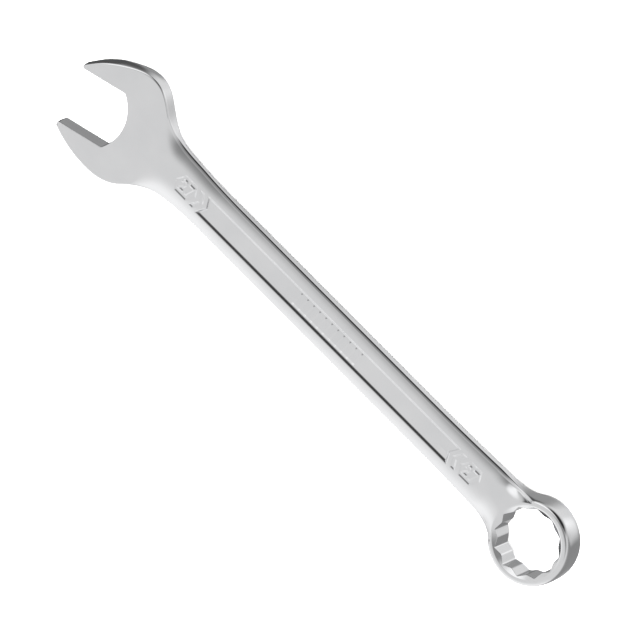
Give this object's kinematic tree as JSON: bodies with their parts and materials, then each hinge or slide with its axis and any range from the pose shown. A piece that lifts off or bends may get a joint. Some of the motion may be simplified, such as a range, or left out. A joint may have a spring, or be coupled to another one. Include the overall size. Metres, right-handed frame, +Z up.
{
  "type": "combination wrench",
  "caption": "Combination wrench: angled open jaw at one end, offset bi-hexagon ring at the other, joined by a flat shank with a long recessed panel on each face.",
  "frame": {"origin": "middle of the outline's bounding box, at the height of the surface the wrench lies on", "axes": "+X from the open end to the ring end, +Y across the wrench, towards the longer-reaching jaw, +Z up, out of the face the ring is offset to"},
  "size_m": [0.2942, 0.053, 0.0212],
  "materials": {
    "satin_chrome": "satin chrome plate, fine frosted grain"
  },
  "bodies": {
    "root": {"open_end_head": "satin_chrome", "shank": "satin_chrome", "ring_head": "satin_chrome"}
  },
  "joints": []
}
